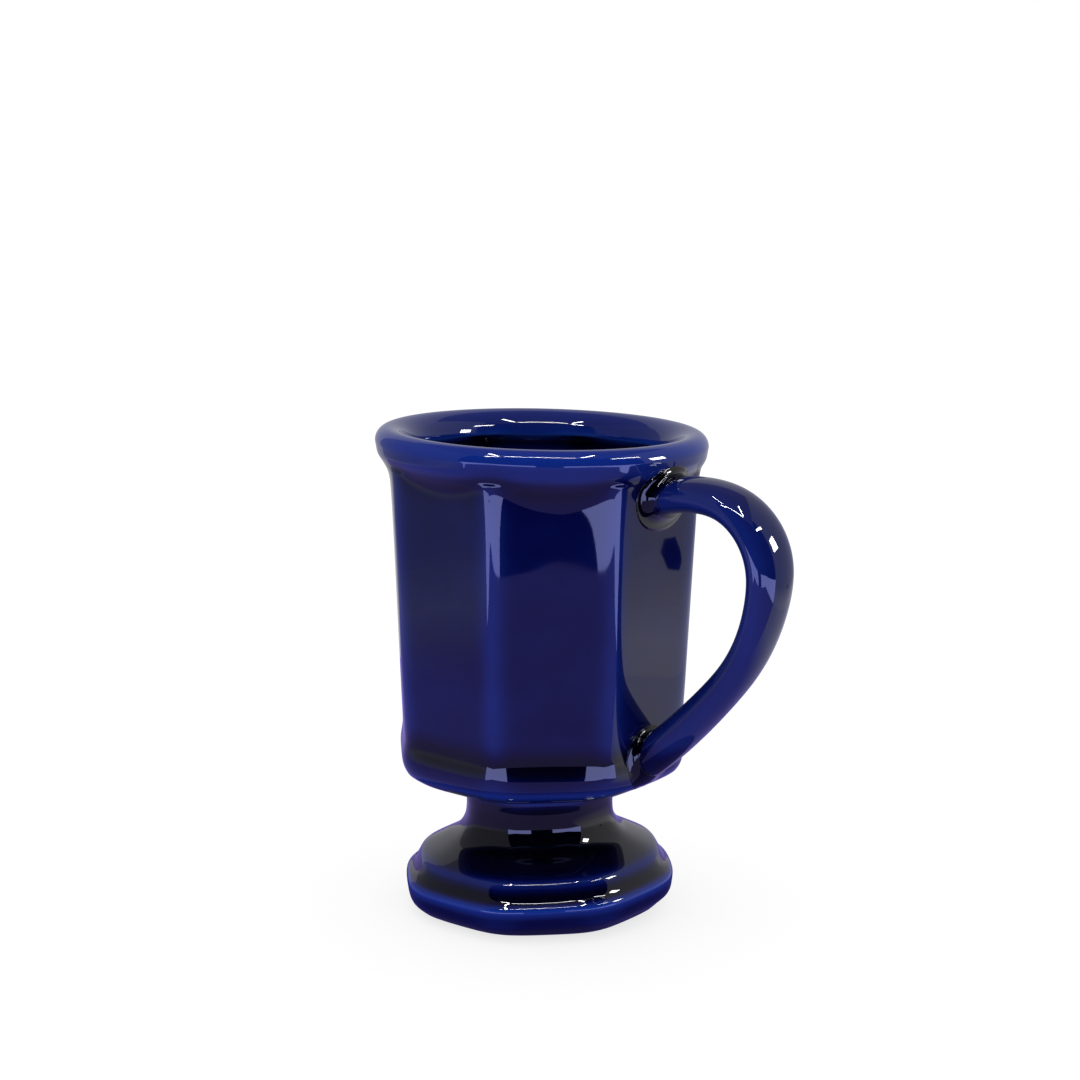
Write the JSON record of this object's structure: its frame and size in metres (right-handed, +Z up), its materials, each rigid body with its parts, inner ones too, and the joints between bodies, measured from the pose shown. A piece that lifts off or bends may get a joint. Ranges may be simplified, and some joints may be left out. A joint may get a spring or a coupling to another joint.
{
  "type": "shaving mug",
  "caption": "Glazed ceramic shaving mug: faceted cup with a round rolled rim, pedestal foot and loop handle, for working up shaving lather.",
  "frame": {"origin": "on the mug's axis, in the plane that the foot ring stands on", "axes": "+Z up along the mug's axis, +X towards the handle, +Y square to both; the mug is the same on its +Y and -Y sides"},
  "size_m": [0.1133, 0.0814, 0.121],
  "materials": {
    "glaze": "glossy cobalt-blue glaze, darker where it pools and brighter on edges"
  },
  "bodies": {
    "root": {"bowl": "glaze", "foot": "glaze", "foot_joint": "glaze", "handle": "glaze", "upper_handle_joint": "glaze", "lower_handle_joint": "glaze"}
  },
  "joints": []
}
